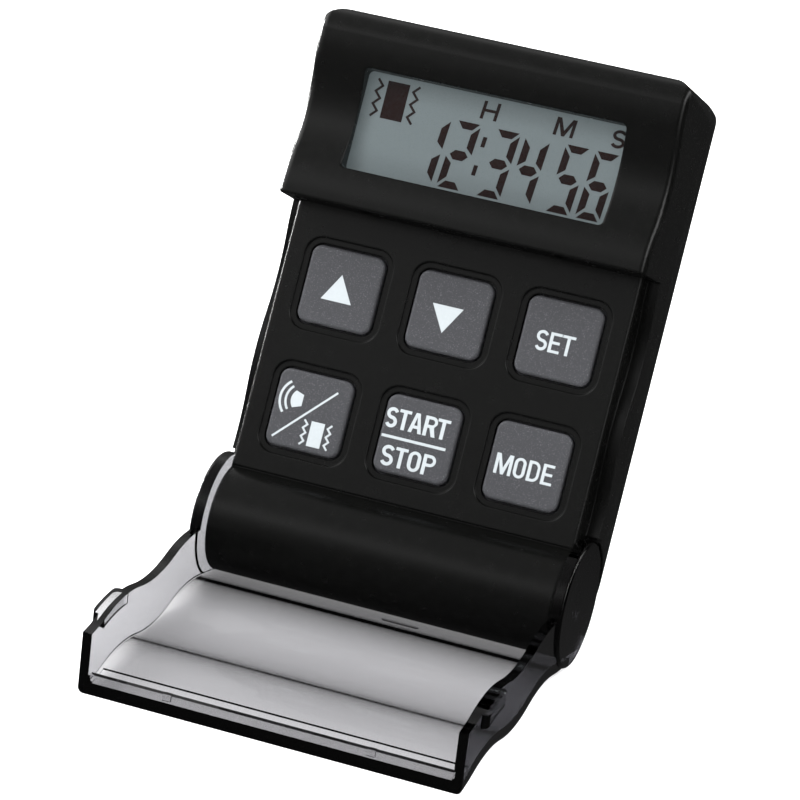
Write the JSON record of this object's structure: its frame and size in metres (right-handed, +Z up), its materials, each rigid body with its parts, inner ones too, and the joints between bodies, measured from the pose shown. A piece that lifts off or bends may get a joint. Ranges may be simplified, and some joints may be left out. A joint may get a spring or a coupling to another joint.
{
  "type": "pocket countdown timer",
  "caption": "Pocket countdown timer with a wavy display hood, square keys, a battery barrel and a clear flip cover that opens to form its stand.",
  "frame": {"origin": "centre of the footprint on the table, with the timer standing on its open cover", "axes": "+Z up from the table, +X to the right of someone facing the keys, +Y away from that person, so the cover lies towards -Y"},
  "size_m": [0.0624, 0.0942, 0.0868],
  "materials": {
    "black_gloss": "high gloss moulded",
    "clear_cover": "clear polished, faint smoke tint",
    "clear_window": "clear polished",
    "display_glass": "grey reflective display",
    "key_grey": "satin grey with fine metallic speckle and white marks",
    "white_plastic": "moulded white",
    "elastomer": "striped elastomer",
    "board_green": "solder resist",
    "grey_rubber": "silicone",
    "chip_seal": "epoxy seal",
    "capacitor_body": "ceramic brown",
    "nickel": "nickel plated",
    "steel": "zinc plated",
    "brass": "rolled brass",
    "white_ceramic": "silvered ceramic",
    "cell_wrap": "printed sleeve, plain",
    "black_rubber": "moulded rubber",
    "lead_red": "insulated wire"
  },
  "bodies": {
    "case": {"front_shell": "black_gloss", "rear_shell": "black_gloss", "display_window": "clear_window", "lcd_panel": "display_glass", "lcd_frame": "white_plastic", "zebra_connector": "elastomer", "main_board": "board_green", "dome_mat": "grey_rubber", "driver_chip": "chip_seal", "quartz_crystal": "nickel", "capacitors": "capacitor_body", "battery_cell": "cell_wrap", "positive_contact": "nickel", "negative_contact": "nickel", "battery_spring": "nickel", "vibration_motor": "nickel", "motor_boot": "black_rubber", "buzzer_plate": "brass", "buzzer_ceramic": "white_ceramic", "battery_leads": "lead_red", "motor_leads": "lead_red", "buzzer_leads": "lead_red", "case_screws": "steel", "board_screws": "steel"},
    "cover": {"flip_cover": "clear_cover"},
    "battery_door": {"battery_door": "black_gloss"},
    "motor_rotor": {"motor_shaft": "steel", "eccentric_weight": "steel"},
    "key_up": {"key_up": "key_grey"},
    "key_down": {"key_down": "key_grey"},
    "key_set": {"key_set": "key_grey"},
    "key_alarm": {"key_alarm": "key_grey"},
    "key_start": {"key_start": "key_grey"},
    "key_mode": {"key_mode": "key_grey"}
  },
  "joints": [
    {"name": "cover_hinge", "type": "hinge", "parent": "case", "child": "cover", "pos_m": [0, 0.00391, 0.01], "axis": [-1, 0, 0], "range_deg": [0, 115]},
    {"name": "key_up_press", "type": "slide", "parent": "case", "child": "key_up", "axis": [0, 0.9063, -0.4226], "range_m": [0, 0.0008], "stiffness_N_per_m": 60},
    {"name": "key_down_press", "type": "slide", "parent": "case", "child": "key_down", "axis": [0, 0.9063, -0.4226], "range_m": [0, 0.0008], "stiffness_N_per_m": 60},
    {"name": "key_set_press", "type": "slide", "parent": "case", "child": "key_set", "axis": [0, 0.9063, -0.4226], "range_m": [0, 0.0008], "stiffness_N_per_m": 60},
    {"name": "key_alarm_press", "type": "slide", "parent": "case", "child": "key_alarm", "axis": [0, 0.9063, -0.4226], "range_m": [0, 0.0008], "stiffness_N_per_m": 60},
    {"name": "key_start_press", "type": "slide", "parent": "case", "child": "key_start", "axis": [0, 0.9063, -0.4226], "range_m": [0, 0.0008], "stiffness_N_per_m": 60},
    {"name": "key_mode_press", "type": "slide", "parent": "case", "child": "key_mode", "axis": [0, 0.9063, -0.4226], "range_m": [0, 0.0008], "stiffness_N_per_m": 60},
    {"name": "battery_door_lift", "type": "slide", "parent": "case", "child": "battery_door", "axis": [0, 0.9063, -0.4226], "range_m": [0, 0.008]},
    {"name": "motor_spin", "type": "hinge", "parent": "case", "child": "motor_rotor", "pos_m": [0.0212, 0.03507, 0.06167], "axis": [1, 0, 0], "continuous": true}
  ]
}
